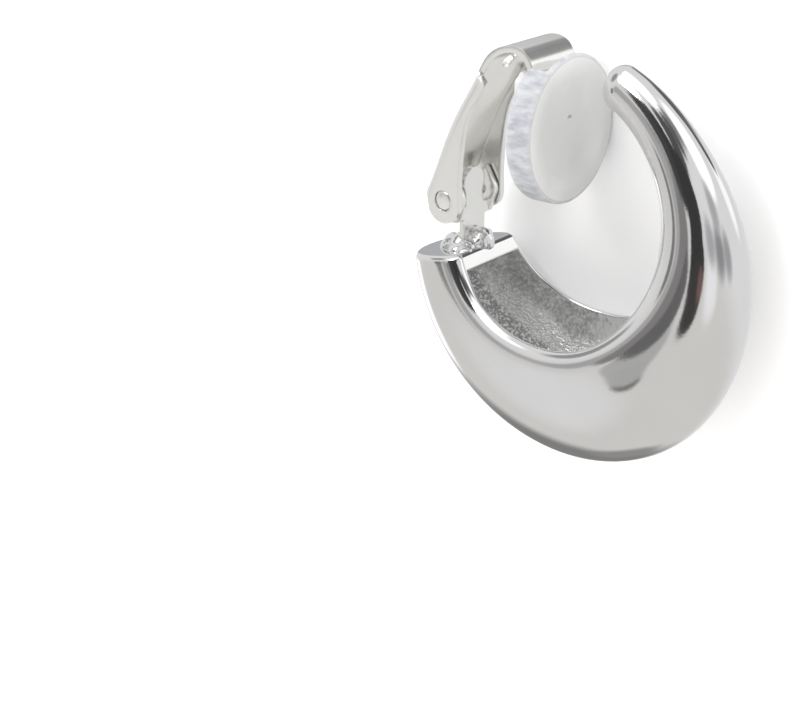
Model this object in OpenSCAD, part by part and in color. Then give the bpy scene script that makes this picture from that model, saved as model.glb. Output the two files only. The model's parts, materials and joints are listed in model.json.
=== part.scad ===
// A clip-on hoop earring that lies on its side, in millimetres.
// The hoop's own plane is X and Y, and its width runs along Z. The hoop opens to +Y.

/* [Hoop] */
// Radius of the hoop's open middle, from its centre to the rim
ring_r = 9; // [7:0.1:12]
// Depth of the hoop from the rim to the crown, at the belly
belly_d = 9; // [6:0.1:11]
// Half of the hoop's width at the belly
belly_w = 4.8; // [4:0.1:6]
// Angle from the flat end round to the last full section before the tip
sweep = 226; // [200:1:236]
// Angle at which the flat end stands, from +X
end_angle = 206; // [195:1:215]
// How far the flat end's face is turned from the radius
end_lean = 14; // [0:1:20]
// Length of the rounded tip
tip_len = 1.4; // [0.8:0.1:2]

/* [Hollow back] */
// Width of the flat rim round the hollow
rim_t = 0.85; // [0.75:0.05:1.1]
// Thickness of the shell at the crown
crown_t = 1; // [0.7:0.05:1.5]
// Thickness of the solid end under the clip
end_t = 1.2; // [0.9:0.1:2]
// Share of the sweep at which the hollow runs out behind the front
hollow_end = 0.64; // [0.5:0.01:0.75]

/* [Clip base] */
// Distance of the pivot from the flat end's inner edge, along X
pivot_in = 1.85; // [1.5:0.05:2.5]
// Height of the pivot over the flat end
pivot_rise = 3.85; // [3.4:0.05:5]
// Diameter of the two trunnions
trunnion_d = 1.4; // [1:0.05:1.8]
// Thickness of the base's strip
base_t = 0.45; // [0.35:0.05:0.6]
// Width of the base's ears
ear_w = 1.8; // [1.6:0.05:2.2]
// Distance of the ears' middle in front of the pivot
ear_shift = 0.35; // [0:0.05:0.4]
// Height of the ears' points over the pivot
ear_top = 1.7; // [1.2:0.1:2.2]
// Width of the stem, along the trunnions
stem_w = 2.4; // [1.8:0.1:2.8]
// Diameter of the soldered foot
foot_w = 2.6; // [2.2:0.1:3]

/* [Clip lever] */
// Width of the lever outside its flanges
lever_w = 5.3; // [4.6:0.1:6.5]
// Thickness of the lever's sheet
sheet_t = 0.45; // [0.35:0.05:0.6]
// Radius of the flanges' round ends
lobe_r = 1.35; // [1.2:0.05:1.6]
// Distance of the lever's back from the pivot
back_off = 1.65; // [1.5:0.05:1.9]
// Lean of the lever's back from upright
lever_lean = 26.5; // [20:0.5:32]
// Length of the straight back, from the level of the pivot
back_len = 10.2; // [9:0.1:12]
// Outer radius of the hook's first bend
hook_r = 2.85; // [2:0.05:3.5]
// Outer radius of the hook's second bend
lip_r = 1.6; // [1:0.05:2]
// Width of the hook and its tongue
tongue_w = 4.9; // [3.6:0.1:5]
// Length of the tongue below the hook
tongue_len = 6.9; // [5:0.1:8]
// Diameter of the hole through the hook
hook_hole_d = 1.4; // [0.8:0.1:2]
// Running clearance of the trunnions in the flanges, on the radius
pivot_gap = 0.05; // [0.02:0.01:0.09]
// Clearance between the base's ears and the flanges
side_gap = 0.1; // [0.05:0.01:0.2]

/* [Comfort pad] */
// Diameter of the pad
pad_d = 10; // [8:0.1:11]
// Thickness of the pad
pad_t = 1.9; // [1.7:0.1:2.6]
// Silicone in front of the tongue
pad_front = 1.55; // [1.2:0.05:1.65]
// Bevel round the pad's front
pad_bevel = 0.3; // [0.1:0.05:0.5]
// Distance of the notch in the pad's top from its centre
notch_y = 3.95; // [3.5:0.05:4.4]
// Silicone round the tongue, behind and beside it
pocket_wall = 0.55; // [0.4:0.05:0.8]
// Clearance round the tongue
pocket_gap = 0.05; // [0.02:0.01:0.1]

/* [Hidden] */

silver = [0.8, 0.8, 0.82];
silicone = [0.86, 0.89, 0.92];

// One row a section, from the flat end to the tip, equally spaced over the sweep.
// Columns are shares of ring_r, belly_d and belly_w, how round the inner side is, and how
// full the dome is, where 1 is half an ellipse and more is squarer.
RIM = 0;
DEPTH = 1;
WIDTH = 2;
ROUND = 3;
FULL = 4;
SECTIONS = [
    [1.00, 0.62, 0.75, 0, 1.1],
    [1.00, 0.81, 0.91, 0, 1.08],
    [0.96, 1.00, 1.00, 0, 1.02],
    [0.93, 1.00, 0.98, 0, 1],
    [0.85, 0.83, 0.80, 0.1, 1],
    [0.75, 0.66, 0.61, 0.5, 1],
    [0.71, 0.51, 0.46, 0.9, 1],
    [0.74, 0.41, 0.33, 1, 1],
    [0.83, 0.36, 0.25, 1, 1]
];

// Value of a column at a share s of the sweep, on a smooth curve through the rows
function row(k) = SECTIONS[max(0, min(len(SECTIONS) - 1, k))];
function mix(c, s) =
    let (place = s * (len(SECTIONS) - 1), k = min(floor(place), len(SECTIONS) - 2), u = place - k,
         a = row(k)[c], b = row(k + 1)[c],
         before = k == 0 ? 2 * a - b : row(k - 1)[c],
         after = k == len(SECTIONS) - 2 ? 2 * b - a : row(k + 2)[c])
    a + u * (b - before + u * (2 * before - 5 * a + 4 * b - after + u * (3 * (a - b) + after - before))) / 2;

// The section at a share s: rim radius, depth, half width, and the inner corners' two radii
edge_across = 0.75;
edge_out = 1.5;
full_round = 0.45;
lean_share = 0.4;
tip_lean = 4;
function rim_r(s) = ring_r * mix(RIM, s);
function depth(s) = belly_d * mix(DEPTH, s);
function half(s) = belly_w * mix(WIDTH, s);
function corner_across(s) = edge_across + (half(s) - edge_across) * min(1, mix(ROUND, s));
function corner_out(s) = edge_out + (full_round * depth(s) - edge_out) * min(1, mix(ROUND, s));
function place_angle(s) = end_angle + sweep * s;
function face_angle(s) = place_angle(s) - end_lean * max(0, 1 - s / lean_share)
    + tip_lean * max(0, (s - 1 + lean_share) / lean_share);
function inner_point(s) = rim_r(s) * [cos(place_angle(s)), sin(place_angle(s))];

// The hollow's depth below the rim, which starts at the end wall and runs out behind the front
end_s = end_t / (ring_r * sweep * PI / 180);
fade = 0.12;
function hollow_w(s) = half(s) - rim_t;
function fading(s) = s < end_s || s > hollow_end ? 0 : sqrt(min(1, (hollow_end - s) / fade));
function hollow_d(s) = fading(s) * (depth(s) - crown_t);

// The inner side's level at a distance x from the middle, before the hollow is cut
function inner_level(s, x) =
    let (flat = half(s) - corner_across(s), u = min(1, max(0, (abs(x) - flat) / corner_across(s))))
    corner_out(s) * (1 - sqrt(1 - u * u));
function corner_stop(s) = acos(min(1, max(0, (hollow_w(s) - half(s) + corner_across(s)) / corner_across(s))));

// One section as a closed loop of [across, out] points: dome, corner, hollow, corner
dome_n = 16;
corner_n = 4;
hollow_n = 12;
function fuller(v, s) = sign(v) * pow(abs(v), 1 / mix(FULL, s));
function dome(s) = [for (k = [0:dome_n]) let (a = 180 * k / dome_n)
    [half(s) * fuller(cos(a), s), corner_out(s) + (depth(s) - corner_out(s)) * fuller(sin(a), s)]];
function corner(s, side) = [for (k = [1:corner_n - 1]) let (a = corner_stop(s) * k / corner_n)
    [side * (half(s) - corner_across(s) * (1 - cos(a))), corner_out(s) * (1 - sin(a))]];
function hollow(s, deep) = [for (k = [0:hollow_n]) let (a = 180 * k / hollow_n, x = -hollow_w(s) * cos(a))
    [x, inner_level(s, x) + deep * sin(a)]];
function back_to_front(list) = [for (k = [len(list) - 1:-1:0]) list[k]];
function loop(s, deep) = concat(dome(s), corner(s, -1), hollow(s, deep), back_to_front(corner(s, 1)));

// A loop's points in the hoop's frame, and the tip's rings, which shrink along a quarter circle
function stand(p, s) = let (out = face_angle(s), at = inner_point(s))
    [at[0] + p[1] * cos(out), at[1] + p[1] * sin(out), p[0]];
function ring(s, deep) = [for (p = loop(s, deep)) stand(p, s)];
function tip_ring(a) = let (mid = [0, depth(1) / 2], out = face_angle(1))
    [for (p = loop(1, 0)) stand(mid + (p - mid) * cos(a), 1) + tip_len * sin(a) * [-sin(out), cos(out), 0]];

// Shares of the sweep: the end wall, both sides of the hollow's start, then evenly to the tip
body_n = 58;
step_in = 0.0004;
body_s = concat([0, end_s / 2, end_s - step_in], [for (k = [0:body_n]) end_s + (1 - end_s) * k / body_n]);
tip_a = [30, 55, 74, 87];
rings = concat([for (s = body_s) ring(s, hollow_d(s))], [for (a = tip_a) tip_ring(a)]);
loop_n = len(rings[0]);

// The flat end's inner edge, the pivot over it, and the pad's front that the lever carries there
end_edge = inner_point(0);
end_dir = [cos(face_angle(0)), sin(face_angle(0))];
foot_x = end_edge[0] - pivot_in;
foot_y = end_edge[1] + (foot_x - end_edge[0]) * end_dir[1] / end_dir[0];
pivot = [foot_x, foot_y + pivot_rise];

ear_out = lever_w / 2 - sheet_t - side_gap;
back_dir = [sin(lever_lean), cos(lever_lean)];
back_out = [-cos(lever_lean), sin(lever_lean)];
hook_start = back_off * back_out + back_len * back_dir;
hook_mid = hook_start - hook_r * back_out;
lip_mid = [hook_mid[0], hook_mid[1] + hook_r - lip_r];
tongue_x = lip_mid[0] + lip_r;
pad_x = tongue_x + pad_front;
pad_y = lip_mid[1] - notch_y;

// How the earring leans as it rests, on the belly's side and the pad's edge, in degrees
lie_x = 0.34;
lie_y = 1.66;
function turn_x(p, a) = [p[0], p[1] * cos(a) - p[2] * sin(a), p[1] * sin(a) + p[2] * cos(a)];
function turn_y(p, a) = [p[0] * cos(a) + p[2] * sin(a), p[1], p[2] * cos(a) - p[0] * sin(a)];
function lie(p) = turn_y(turn_x(p, lie_x), lie_y);
pad_rim = [for (a = [0:10:350])
    [pivot[0] + pad_x - pad_bevel, pivot[1] + pad_y + pad_d / 2 * sin(a), pad_d / 2 * cos(a)]];
hook_top = [for (side = [-1, 1])
    [pivot[0] + hook_mid[0], pivot[1] + hook_mid[1] + hook_r, side * tongue_w / 2]];
reach = [for (p = concat([for (one = rings) each one], pad_rim, hook_top)) lie(p)];
mid_x = (min([for (p = reach) p[0]]) + max([for (p = reach) p[0]])) / 2;
mid_y = (min([for (p = reach) p[1]]) + max([for (p = reach) p[1]])) / 2;
floor_z = min([for (p = reach) p[2]]);

module lay() {
    translate([-mid_x, -mid_y, -floor_z])
        rotate([0, lie_y, 0])
            rotate([lie_x, 0, 0])
                children();
}

// The cast hoop: one skin through all the rings, with a flat end and a rounded tip
module casting() {
    last = len(rings) - 1;
    points = [for (one = rings) each one];
    sides = [for (i = [0:last - 1], j = [0:loop_n - 1]) let (k = (j + 1) % loop_n)
        each [[i * loop_n + j, (i + 1) * loop_n + k, i * loop_n + k],
              [i * loop_n + j, (i + 1) * loop_n + j, (i + 1) * loop_n + k]]];
    flat_end = [[for (j = [0:loop_n - 1]) j]];
    tip = [[for (j = [loop_n - 1:-1:0]) last * loop_n + j]];
    polyhedron(points = points, faces = concat(sides, flat_end, tip), convexity = 6);
}

// The clip's base, soldered to the flat end: foot, flat stem, yoke, two ears and their trunnions
stem_front = 0.75;
stem_top = 2;
yoke_low = 1.65;
yoke_h = 0.9;
ear_foot = 1.05;
solder_sink = 0.4;
point_angle = 26;
module ear_outline() {
    touch = ear_w / 2 * [cos(point_angle), sin(point_angle)];
    translate([ear_shift, 0]) {
        circle(d = ear_w, $fn = 48);
        polygon([[-touch[0], touch[1]], touch, [0, ear_top]]);
    }
    translate([stem_front - ear_foot, -yoke_low])
        square([ear_foot, yoke_low]);
}
module stem_outline() {
    translate([-stem_w / 2, -pivot_rise - solder_sink])
        square([stem_w, pivot_rise + solder_sink + stem_top - stem_w / 2]);
    translate([0, stem_top - stem_w / 2])
        circle(d = stem_w, $fn = 48);
}
module ear() {
    dimple_wall = 0.2;
    difference() {
        union() {
            translate([0, 0, ear_out - base_t])
                linear_extrude(base_t)
                    ear_outline();
            translate([0, 0, ear_out - base_t / 2])
                cylinder(d = trunnion_d, h = base_t / 2 + side_gap + sheet_t, $fn = 48);
        }
        translate([0, 0, ear_out - 2 * base_t])
            cylinder(d = trunnion_d - 2 * dimple_wall, h = 2 * base_t, $fn = 48);
    }
}
module clip_base() {
    translate([pivot[0], pivot[1], 0]) {
        for (side = [0, 1])
            mirror([0, 0, side])
                ear();
        translate([stem_front - base_t, -yoke_low, -ear_out])
            cube([base_t, yoke_h, 2 * ear_out]);
        translate([stem_front, 0, 0])
            rotate([0, -90, 0])
                linear_extrude(base_t)
                    stem_outline();
        translate([0, -pivot_rise - solder_sink, 0])
            rotate([-90, 0, 0])
                cylinder(d = foot_w, h = solder_sink + base_t, $fn = 48);
    }
}

module hoop() {
    color(silver)
        lay()
            union() {
                casting();
                clip_base();
            }
}

// The lever: a bent strip with two flanges that turn on the trunnions
// The flanges' front edge, with columns as shares of back_len along the back and lobe_r from it
FLANGE = [
    [0.11, 1.90],
    [0.21, 1.55],
    [0.32, 1.20],
    [0.43, 0.92],
    [0.53, 0.72],
    [0.63, 0.60],
    [0.72, 0.57],
    [0.80, 0.62],
    [0.91, 0.72]
];
function up_back(along, deep) = along * back_dir + (back_off - deep) * back_out;
plate_from = 0.2;
shoulder = 0.9;
back_bow = 0.3;
bow_n = 12;
lobe_drop = 0.3;
// The back bows out a little between the lobes and the hook
function bow(along) = back_bow * (1 - cos(360 * along / back_len)) / 2;
function back_line(inset, to, last) = [for (k = [0:last])
    let (a = plate_from + (to - plate_from) * k / bow_n) up_back(a, inset - bow(a))];
module flange_outline() {
    front = [for (k = [len(FLANGE) - 1:-1:0]) up_back(FLANGE[k][0] * back_len, FLANGE[k][1] * lobe_r)];
    difference() {
        union() {
            translate([0, -lobe_drop])
                circle(r = lobe_r, $fn = 64);
            polygon(concat([[0, -lobe_drop], [-lobe_r, -lobe_drop]],
                back_line(0, back_len - shoulder, bow_n), front, [[lobe_r, -lobe_drop]]));
        }
        circle(d = trunnion_d + 2 * pivot_gap, $fn = 48);
    }
}
// The strip's side view from a distance up the back to the end of the tongue
bend_n = 9;
function arc(mid, r, from, to) = [for (k = [0:bend_n]) let (a = from + (to - from) * k / bend_n)
    mid + r * [cos(a), sin(a)]];
function strip_side(inset) = concat(
    back_line(inset, back_len, bow_n - 1),
    arc(hook_mid, hook_r - inset, 180 - lever_lean, 90),
    arc(lip_mid, lip_r - inset, 90, 0),
    [[tongue_x - inset, lip_mid[1] - tongue_len]]);
module strip() {
    linear_extrude(tongue_w, center = true)
        polygon(concat(strip_side(0), back_to_front(strip_side(sheet_t))));
}
module plate() {
    linear_extrude(lever_w, center = true)
        polygon(concat(
            back_line(0, back_len - shoulder, bow_n),
            back_to_front(back_line(sheet_t, back_len - shoulder, bow_n))));
}
module clip_lever_flat() {
    hole_angle = 147;
    difference() {
        union() {
            for (side = [0, 1])
                mirror([0, 0, side])
                    translate([0, 0, lever_w / 2 - sheet_t])
                        linear_extrude(sheet_t)
                            flange_outline();
            plate();
            strip();
        }
        translate([hook_mid[0], hook_mid[1], 0])
            rotate([0, 0, hole_angle])
                rotate([0, 90, 0])
                    cylinder(d = hook_hole_d, h = 2 * hook_r, $fn = 32);
    }
}
module clip_lever() {
    color(silver)
        lay()
            translate([pivot[0], pivot[1], 0])
                clip_lever_flat();
}

// The pad: a bevelled silicone disc with a notch for the hook and a pocket for the tongue
module comfort_pad() {
    slot_w = tongue_w + 2 * pocket_gap;
    slot_t = sheet_t + 2 * pocket_gap;
    slot_low = lip_mid[1] - tongue_len - pocket_gap;
    back_x = tongue_x - sheet_t - pocket_gap - pocket_wall;
    rim_inset = 0.4;
    color(silicone)
        lay()
            translate([pivot[0], pivot[1], 0])
                difference() {
                    union() {
                        translate([pad_x - pad_t, pad_y, 0])
                            rotate([0, 90, 0])
                                cylinder(d = pad_d, h = pad_t - pad_bevel, $fn = 96);
                        translate([pad_x - pad_bevel, pad_y, 0])
                            rotate([0, 90, 0])
                                cylinder(d1 = pad_d, d2 = pad_d - 2 * pad_bevel, h = pad_bevel, $fn = 96);
                        intersection() {
                            translate([back_x, slot_low - pocket_wall, -slot_w / 2 - pocket_wall])
                                cube([pad_x - back_x - pad_t / 2, pad_d, slot_w + 2 * pocket_wall]);
                            translate([back_x, pad_y, 0])
                                rotate([0, 90, 0])
                                    cylinder(r = pad_d / 2 - rim_inset, h = pad_t, $fn = 96);
                        }
                    }
                    translate([back_x - pad_t, pad_y + notch_y, -slot_w / 2])
                        cube([3 * pad_t, pad_d, slot_w]);
                    translate([tongue_x - sheet_t - pocket_gap, slot_low, -slot_w / 2])
                        cube([slot_t, pad_d, slot_w]);
                }
}

hoop();
clip_lever();
comfort_pad();
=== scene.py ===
# %% [markdown]
# # A clip on hoop earring, lying on its side
# The earring is a polished, tapering hoop with a hollow back. A sheet metal lever with a silicone
# pad is hinged on its flat end. The sizes, the hinge and what carries what come from the packed
# frame, and this script adds the finish: the smooth casting, the bent sheet, the solder, the
# silicone and a quiet studio.

import json
import math

import bmesh
import bpy
import numpy as np
from mathutils import Matrix, Vector
from mathutils import noise as seeded
from mathutils.geometry import delaunay_2d_cdt


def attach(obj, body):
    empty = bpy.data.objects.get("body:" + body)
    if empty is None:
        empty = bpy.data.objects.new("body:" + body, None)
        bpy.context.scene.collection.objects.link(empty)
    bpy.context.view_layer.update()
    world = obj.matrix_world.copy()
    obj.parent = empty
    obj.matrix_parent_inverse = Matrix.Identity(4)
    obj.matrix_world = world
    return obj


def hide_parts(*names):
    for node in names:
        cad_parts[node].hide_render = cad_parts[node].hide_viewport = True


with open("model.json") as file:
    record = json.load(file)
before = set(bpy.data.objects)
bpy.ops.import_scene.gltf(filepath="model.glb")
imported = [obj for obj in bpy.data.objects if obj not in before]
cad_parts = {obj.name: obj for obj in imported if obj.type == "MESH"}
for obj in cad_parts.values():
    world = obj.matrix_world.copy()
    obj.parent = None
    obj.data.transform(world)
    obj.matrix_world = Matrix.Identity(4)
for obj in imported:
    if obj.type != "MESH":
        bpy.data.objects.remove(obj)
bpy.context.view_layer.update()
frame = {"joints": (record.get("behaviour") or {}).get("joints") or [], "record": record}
MM = 0.001

# %% [markdown]
# ## The hoop's own axes
# A jeweller thinks of the hoop as standing: its width runs across, and it opens upwards. Here it
# lies down and leans a little. The hinge's axis runs across the hoop, and the pad's face looks
# forward, so these two directions in the record give all three axes. Sizes below are in
# millimetres from the middle of the hoop, and `place` turns them into the frame's metres.

# %% The axes and the middle of the hoop
hinge = frame["joints"][0]
mounts = {m["name"]: m for m in frame["record"]["mounts"]}
across = Vector(hinge["axis"]).normalized()
forward = Vector(mounts["pad_face"]["axis"])
forward = (forward - across * forward.dot(across)).normalized()
upward = across.cross(forward)
pivot = Vector(hinge["pos_m"])

ring_r = 9.0
end_angle = math.radians(206)
end_lean = math.radians(14)
pivot_in = 1.85
pivot_rise = 3.85

end_edge = ring_r * np.array([math.cos(end_angle), math.sin(end_angle)])
end_slope = math.tan(end_angle - end_lean)
pivot_flat = (end_edge[0] - pivot_in, end_edge[1] - pivot_in * end_slope + pivot_rise)
middle = pivot - MM * (forward * pivot_flat[0] + upward * pivot_flat[1])


def place(x, y, z=0.0):
    """A point given in millimetres on the hoop's own axes, in the frame's metres."""
    return middle + MM * (forward * x + upward * y + across * z)


def direction(x, y, z=0.0):
    """A direction on the hoop's own axes, as a unit vector in the frame."""
    return (forward * x + upward * y + across * z).normalized()


print("Middle of the hoop in mm:", [round(v / MM, 2) for v in middle])

# %% [markdown]
# ## The camera
# The photograph looks at the hoop from its open side, turned 40 degrees and raised 23 degrees on
# the hoop's own axes. The six numbers below were solved by least squares from points picked on
# the pad's two rims and across the clip and the hoop, so they are not round. Written on the
# hoop's axes, they keep the same view however the hoop lies.

# %% The camera
view_turn = math.radians(40.17)
view_rise = math.radians(22.87)
view_roll = math.radians(-0.75)
view_range = 105.09
beside = 11.30
beneath = 14.79
aim = (-1.2, 5.5)

back = direction(
    math.sin(view_turn) * math.cos(view_rise),
    math.sin(view_rise),
    math.cos(view_turn) * math.cos(view_rise),
)
level = direction(math.cos(view_turn), 0, -math.sin(view_turn))
over = back.cross(level)
right = level * math.cos(view_roll) + over * math.sin(view_roll)
top = back.cross(right)

camera_data = bpy.data.cameras.new("camera")
camera_data.sensor_width = 36
camera_data.lens = 72
camera_data.clip_start = 0.005
camera_data.clip_end = 5
camera = bpy.data.objects.new("camera", camera_data)
bpy.context.scene.collection.objects.link(camera)
spot = place(*aim) + MM * (back * view_range - right * beside - top * beneath)
camera.matrix_world = Matrix.Translation(spot) @ Matrix((right, top, back)).transposed().to_4x4()
bpy.context.scene.camera = camera
print("Camera height in mm:", round(spot.z / MM, 1))

# %% [markdown]
# ## Writing nodes as sums
# Materials and Geometry Nodes are both made of small nodes. Written one by one they are hard to
# read, so one class wraps a socket and turns Python's operators into Math nodes. Every other node
# comes from `make`, which sets the node up first and fills its sockets after.


# %% A wire between nodes
class Wire:
    """A socket whose sums add Math nodes to its tree."""

    def __init__(self, bench, socket):
        self.bench = bench
        self.socket = socket

    def math(self, operation, *others):
        sockets = dict(enumerate((self, *others)))
        return self.bench.make("ShaderNodeMath", {"operation": operation}, sockets)

    def __add__(self, other):
        return self.math("ADD", other)

    def __radd__(self, other):
        return self.math("ADD", other)

    def __sub__(self, other):
        return self.math("SUBTRACT", other)

    def __rsub__(self, other):
        return self.bench.value(other).math("SUBTRACT", self)

    def __mul__(self, other):
        return self.math("MULTIPLY", other)

    def __rmul__(self, other):
        return self.math("MULTIPLY", other)

    def __truediv__(self, other):
        return self.math("DIVIDE", other)

    def __rtruediv__(self, other):
        return self.bench.value(other).math("DIVIDE", self)

    def __pow__(self, other):
        return self.math("POWER", other)

    def __lt__(self, other):
        return self.math("LESS_THAN", other)

    def __gt__(self, other):
        return self.math("GREATER_THAN", other)

    def clamp(self):
        settings = {"operation": "ADD", "use_clamp": True}
        return self.bench.make("ShaderNodeMath", settings, {0: self, 1: 0.0})

    def out(self, name):
        """Another output of the same node."""
        return Wire(self.bench, self.socket.node.outputs[name])


class Bench:
    """A node tree and the one way that its nodes are made."""

    def __init__(self, tree):
        self.tree = tree

    def make(self, kind, settings=None, sockets=None, out=0):
        node = self.tree.nodes.new(kind)
        for name, setting in (settings or {}).items():
            setattr(node, name, setting)
        for key, given in (sockets or {}).items():
            if isinstance(given, Wire):
                self.tree.links.new(given.socket, node.inputs[key])
            else:
                node.inputs[key].default_value = given
        return Wire(self, node.outputs[out]) if len(node.outputs) else node

    def value(self, number):
        """A bare number as a wire, for sums that start with one."""
        return self.make("ShaderNodeMath", {"operation": "ADD"}, {0: number, 1: 0.0})


def smoothstep(bench, wire, low, high):
    """0 below low, 1 above high, and a soft rise between them."""
    settings = {"interpolation_type": "SMOOTHSTEP"}
    sockets = {"Value": wire, "From Min": low, "From Max": high}
    return bench.make("ShaderNodeMapRange", settings, sockets)


# %% [markdown]
# ## The stations of the casting
# The hoop is one loop of metal whose section changes all the way round: a full dome over a hollow
# back at the belly, and a slim oval at the tip. Sections are given at nine places and the ones
# between are read off a smooth curve. The table holds shares of three named sizes. Its rims,
# depths and widths are the rounded result of a least-squares fit to the photograph's outline,
# with the first two widths changed. A natural cubic spline goes through its rows, because
# polished metal shows every jump in a curve's bend as a kink in the reflections.

# %% The table of sections
belly_d = 9.0
belly_w = 4.8
sweep = math.radians(226)
tip_len = 1.4
tip_lean = math.radians(4)
lean_share = 0.4
rim_t = 0.85
crown_t = 1.0
end_t = 1.2
hollow_end = 0.64
edge_across = 0.75
edge_out = 1.5
full_round = 0.45

RIM, DEPTH, WIDTH, ROUND, FULL = range(5)
SECTIONS = np.array([
    [1.00, 0.62, 0.75, 0.0, 1.10],
    [1.00, 0.81, 0.91, 0.0, 1.08],
    [0.96, 1.00, 1.00, 0.0, 1.02],
    [0.93, 1.00, 0.98, 0.0, 1.00],
    [0.85, 0.83, 0.80, 0.1, 1.00],
    [0.75, 0.66, 0.61, 0.5, 1.00],
    [0.71, 0.51, 0.46, 0.9, 1.00],
    [0.74, 0.41, 0.33, 1.0, 1.00],
    [0.83, 0.36, 0.25, 1.0, 1.00],
])


def natural_spline(rows, places):
    """Values at places between 0 and 1 on the cubic curves through evenly spaced rows."""
    count = len(rows)
    ones = np.ones(count - 1)
    matrix = np.diag(np.full(count, 4.0)) + np.diag(ones, 1) + np.diag(ones, -1)
    matrix[0, :2] = (1, 0)
    matrix[-1, -2:] = (0, 1)
    bends = np.zeros_like(rows)
    bends[1:-1] = 6 * (rows[2:] - 2 * rows[1:-1] + rows[:-2])
    bends = np.linalg.solve(matrix, bends)
    along = np.clip(places, 0, 1) * (count - 1)
    k = np.minimum(along.astype(int), count - 2)
    u = (along - k)[:, None]
    a, b = rows[k], rows[k + 1]
    bend = ((1 - u) ** 3 - (1 - u)) * bends[k] + (u**3 - u) * bends[k + 1]
    return a + u * (b - a) + bend / 6


# %% [markdown]
# A station is one section's place on the way round. It holds the place, the way out from the
# middle, the sizes, and a shrink. The shrink closes both ends: it grows from nothing over the flat
# end, rounds that end's edge, and follows a quarter circle down to a point at the tip.

# %% The stations
arc_mm = ring_r * sweep
end_s = end_t / arc_mm
end_round = 0.3
wall_round = 0.5
fade = 0.12
body_n = 250
tip_n = 14

cap = [(0.0, shrink) for shrink in (0.0, 0.25, 0.5, 0.7, 0.85)]
for k in range(7):
    a = math.radians(90 * k / 7)
    cap.append((end_round * (1 - math.cos(a)) / arc_mm, 1 - end_round * (1 - math.sin(a)) / 3.5))
body = [(end_round / arc_mm + (end_s - end_round / arc_mm) * k / 6, 1.0) for k in range(6)]
body += [(end_s + wall_round / arc_mm * (k / 8) ** 2, 1.0) for k in range(8)]
start_s = end_s + wall_round / arc_mm
body += [(start_s + (1 - start_s) * k / body_n, 1.0) for k in range(body_n)]
tip = [math.radians(90 * k / tip_n) for k in range(tip_n + 1)]

place_s = np.array([s for s, shrink in cap + body] + [1.0] * len(tip))
shrinks = np.array([shrink for s, shrink in cap + body] + [math.cos(a) for a in tip])
pushes = np.array([0.0] * len(cap + body) + [tip_len * math.sin(a) for a in tip])

# Taken off the depth and the half width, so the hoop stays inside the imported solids' box
polish_off = 0.055
side_polish = 0.02
shares = natural_spline(SECTIONS, place_s)
depth = belly_d * shares[:, DEPTH] - polish_off
half = belly_w * shares[:, WIDTH] - side_polish
roundness = np.clip(shares[:, ROUND], 0, 1)
corner_w = edge_across + (half - edge_across) * roundness
corner_d = edge_out + (full_round * depth - edge_out) * roundness
hollow_w = half - rim_t
fading = np.sqrt(np.clip((hollow_end - place_s) / fade, 0, 1))
rising = np.sqrt(np.clip(1 - (1 - (place_s - end_s) * arc_mm / wall_round) ** 2, 0, 1))
rising[place_s >= start_s] = 1
rising[place_s <= end_s] = 0
hollow_d = fading * rising * (depth - crown_t)

angles = end_angle + sweep * place_s
faces = angles - end_lean * np.clip(1 - place_s / lean_share, 0, None)
faces += tip_lean * np.clip((place_s - 1 + lean_share) / lean_share, 0, None)
rims = ring_r * shares[:, RIM]
spine = [
    place(r * math.cos(a) - p * math.sin(f), r * math.sin(a) + p * math.cos(f))
    for r, a, f, p in zip(rims, angles, faces, pushes)
]
print("Stations:", len(spine), "belly depth in mm:", round(depth.max(), 2))

# %% [markdown]
# ## Casting the hoop with Geometry Nodes
# A caster would carve this hoop in wax by running a template round it. Geometry Nodes can do the
# same: a grid has one row of points for each station, and the tree moves each point to its place
# on the section there. Going from the crown to the middle of the hollow, a section is a dome, a
# rolled rim, the rim's small inner edge, and the hollow's wall. The other half is its mirror
# image. Sizes are inputs, so the rim can be made wider without touching the tree.

# %% The tree that casts the hoop
STATION_SIZES = ("half", "depth", "corner_w", "corner_d", "hollow_d", "fullness", "shrink")


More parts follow.
